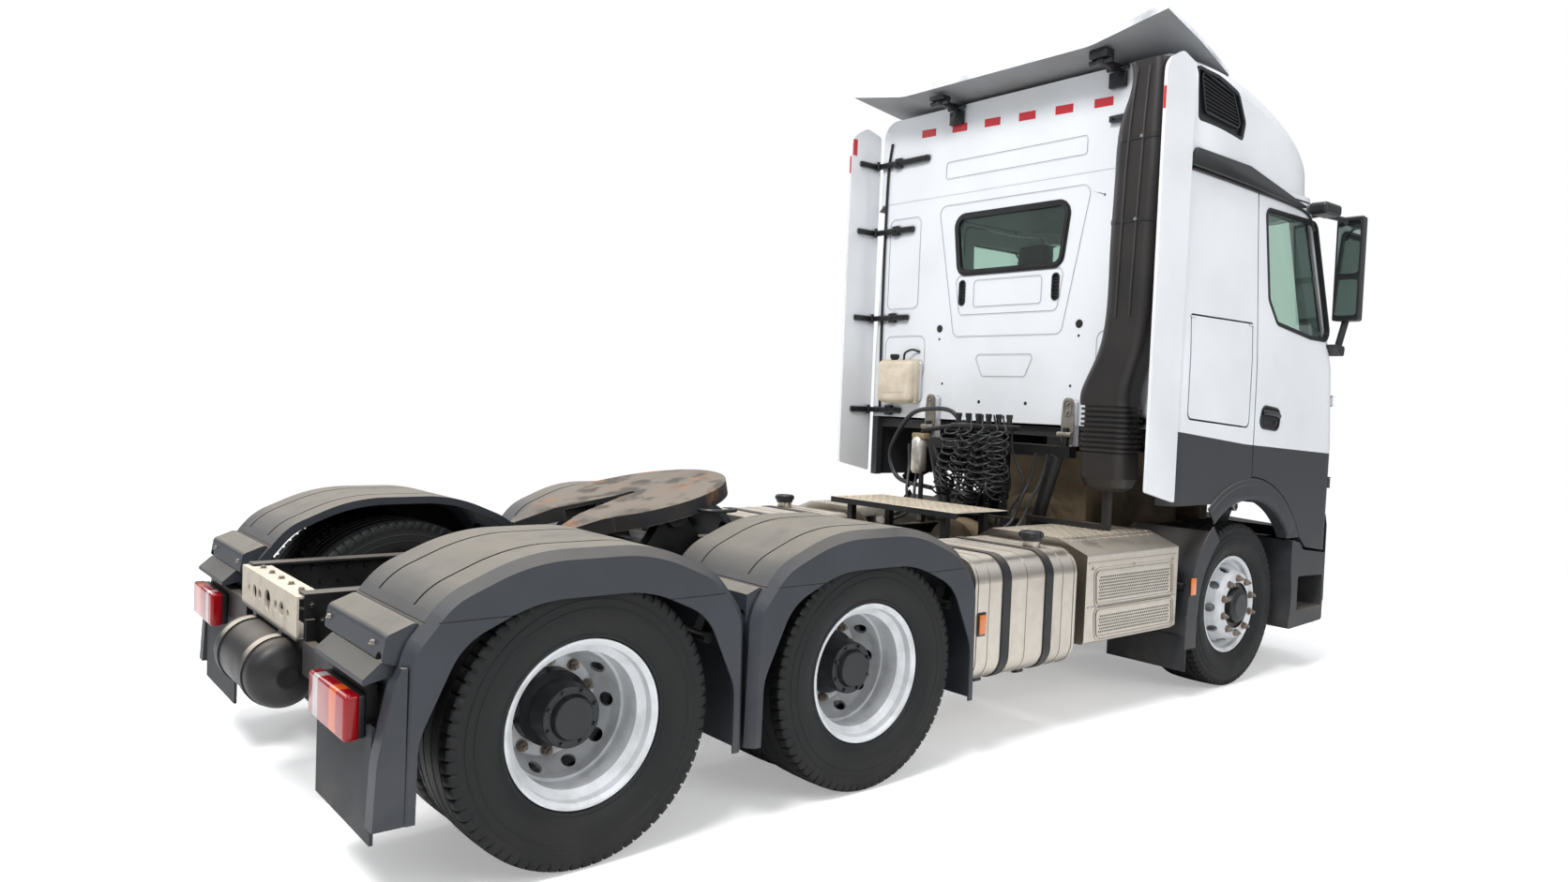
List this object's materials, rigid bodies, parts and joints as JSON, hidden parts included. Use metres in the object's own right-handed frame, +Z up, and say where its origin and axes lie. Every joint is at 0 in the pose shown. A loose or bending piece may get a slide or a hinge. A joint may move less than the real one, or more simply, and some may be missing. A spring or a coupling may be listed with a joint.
{
  "type": "tractor unit",
  "caption": "Truck tractor unit: sleeper cab with wind deflectors on a ladder frame, one steered axle, two twin-tyred drive axles and a coupling plate.",
  "frame": {"origin": "centre of the overall box, on the ground", "axes": "+X forward, +Y to the vehicle's left, +Z up"},
  "size_m": [6.8157, 2.801, 3.8678],
  "materials": {
    "cab_paint": "gloss",
    "chassis_paint": "satin",
    "cast_part": "matte",
    "plate_steel": "worn",
    "grey_plastic": "matte",
    "lamp_plastic": "gloss",
    "glass": "gloss",
    "tank_metal": "brushed",
    "rim_metal": "satin",
    "tyre": "matte",
    "flap_rubber": "matte",
    "interior_plastic": "matte",
    "seat_fabric": "matte"
  },
  "bodies": {
    "chassis": {"air_tank": "chassis_paint", "bumper": "grey_plastic", "cab_mount": "chassis_paint", "crossmembers": "chassis_paint", "deck_plate": "tank_metal", "drive_axles": "cast_part", "engine_gearbox": "cast_part", "entry_steps": "grey_plastic", "fender_brackets": "chassis_paint", "fenders_left": "grey_plastic", "fenders_right": "grey_plastic", "fifth_wheel_base": "chassis_paint", "frame_rails": "chassis_paint", "front_axle": "cast_part", "front_mudguards": "grey_plastic", "fuel_tanks": "tank_metal", "intake_pot": "grey_plastic", "lamps": "lamp_plastic", "line_bracket": "chassis_paint", "mud_flaps": "flap_rubber", "side_boxes": "tank_metal", "tank_brackets": "chassis_paint"},
    "cab": {"cab_floor": "interior_plastic", "cab_front": "cab_paint", "cab_glass": "glass", "cab_rear_wall": "cab_paint", "cab_roof": "cab_paint", "cab_side_left": "cab_paint", "cab_side_right": "cab_paint", "dashboard": "interior_plastic", "intake_snorkel": "grey_plastic", "roof_deflector": "cab_paint", "seats_bunk": "seat_fabric", "side_deflectors": "cab_paint"},
    "door_left": {"door_left": "cab_paint", "door_glass_left": "glass", "mirror_left": "grey_plastic"},
    "door_right": {"door_right": "cab_paint", "door_glass_right": "glass", "mirror_right": "grey_plastic"},
    "front_flap": {"front_flap": "grey_plastic"},
    "locker_lid_left": {"locker_lid_left": "cab_paint"},
    "locker_lid_right": {"locker_lid_right": "cab_paint"},
    "knuckle_left": {"knuckle_left": "cast_part"},
    "knuckle_right": {"knuckle_right": "cast_part"},
    "tie_rod": {"tie_rod": "chassis_paint"},
    "wheel_front_left": {"wheel_front_left": "rim_metal", "tyre_front_left": "tyre"},
    "wheel_front_right": {"wheel_front_right": "rim_metal", "tyre_front_right": "tyre"},
    "wheel_mid_left": {"wheel_mid_left": "rim_metal", "tyres_mid_left": "tyre"},
    "wheel_mid_right": {"wheel_mid_right": "rim_metal", "tyres_mid_right": "tyre"},
    "wheel_rear_left": {"wheel_rear_left": "rim_metal", "tyres_rear_left": "tyre"},
    "wheel_rear_right": {"wheel_rear_right": "rim_metal", "tyres_rear_right": "tyre"},
    "fifth_wheel": {"fifth_wheel_plate": "plate_steel"}
  },
  "joints": [
    {"name": "cab_tilt", "type": "hinge", "parent": "chassis", "child": "cab", "pos_m": [3.3065, 0, 1], "axis": [0, 1, 0], "range_deg": [0, 60]},
    {"name": "door_left_hinge", "type": "hinge", "parent": "cab", "child": "door_left", "pos_m": [3.0625, 1.222, 1.525], "axis": [0, 0, -1], "range_deg": [0, 70]},
    {"name": "door_right_hinge", "type": "hinge", "parent": "cab", "child": "door_right", "pos_m": [3.0625, -1.222, 1.525], "axis": [0, 0, 1], "range_deg": [0, 70]},
    {"name": "front_flap_hinge", "type": "hinge", "parent": "cab", "child": "front_flap", "pos_m": [3.3285, 0, 1.888], "axis": [0, -1, 0], "range_deg": [0, 75]},
    {"name": "locker_left_hinge", "type": "hinge", "parent": "cab", "child": "locker_lid_left", "pos_m": [1.5615, 1.228, 2.224], "axis": [1, 0, 0], "range_deg": [0, 80]},
    {"name": "locker_right_hinge", "type": "hinge", "parent": "cab", "child": "locker_lid_right", "pos_m": [1.5615, -1.228, 2.224], "axis": [-1, 0, 0], "range_deg": [0, 80]},
    {"name": "steer_left", "type": "hinge", "parent": "chassis", "child": "knuckle_left", "pos_m": [1.9665, 0.9, 0.508], "axis": [0, 0, 1], "range_deg": [-35, 35]},
    {"name": "steer_right", "type": "hinge", "parent": "chassis", "child": "knuckle_right", "pos_m": [1.9665, -0.9, 0.508], "axis": [0, 0, 1], "range_deg": [-35, 35]},
    {"name": "tie_rod_pivot", "type": "hinge", "parent": "knuckle_left", "child": "tie_rod", "pos_m": [1.7765, 0.9, 0.366], "axis": [0, 0, 1], "range_deg": [-35, 35]},
    {"name": "fifth_wheel_tilt", "type": "hinge", "parent": "chassis", "child": "fifth_wheel", "pos_m": [-1.6415, 0, 1.1], "axis": [0, 1, 0], "range_deg": [0, 25]},
    {"name": "spin_front_left", "type": "hinge", "parent": "knuckle_left", "child": "wheel_front_left", "pos_m": [1.9665, 1.02, 0.508], "axis": [0, 1, 0], "continuous": true},
    {"name": "spin_mid_left", "type": "hinge", "parent": "chassis", "child": "wheel_mid_left", "pos_m": [-1.1835, 0.9005, 0.508], "axis": [0, 1, 0], "continuous": true},
    {"name": "spin_rear_left", "type": "hinge", "parent": "chassis", "child": "wheel_rear_left", "pos_m": [-2.5335, 0.9005, 0.508], "axis": [0, 1, 0], "continuous": true},
    {"name": "spin_front_right", "type": "hinge", "parent": "knuckle_right", "child": "wheel_front_right", "pos_m": [1.9665, -1.02, 0.508], "axis": [0, 1, 0], "continuous": true},
    {"name": "spin_mid_right", "type": "hinge", "parent": "chassis", "child": "wheel_mid_right", "pos_m": [-1.1835, -0.9005, 0.508], "axis": [0, 1, 0], "continuous": true},
    {"name": "spin_rear_right", "type": "hinge", "parent": "chassis", "child": "wheel_rear_right", "pos_m": [-2.5335, -0.9005, 0.508], "axis": [0, 1, 0], "continuous": true}
  ],
  "couplings": [
    {"joint": "steer_right", "follows": "steer_left", "ratio": 1},
    {"joint": "tie_rod_pivot", "follows": "steer_left", "ratio": -1}
  ]
}
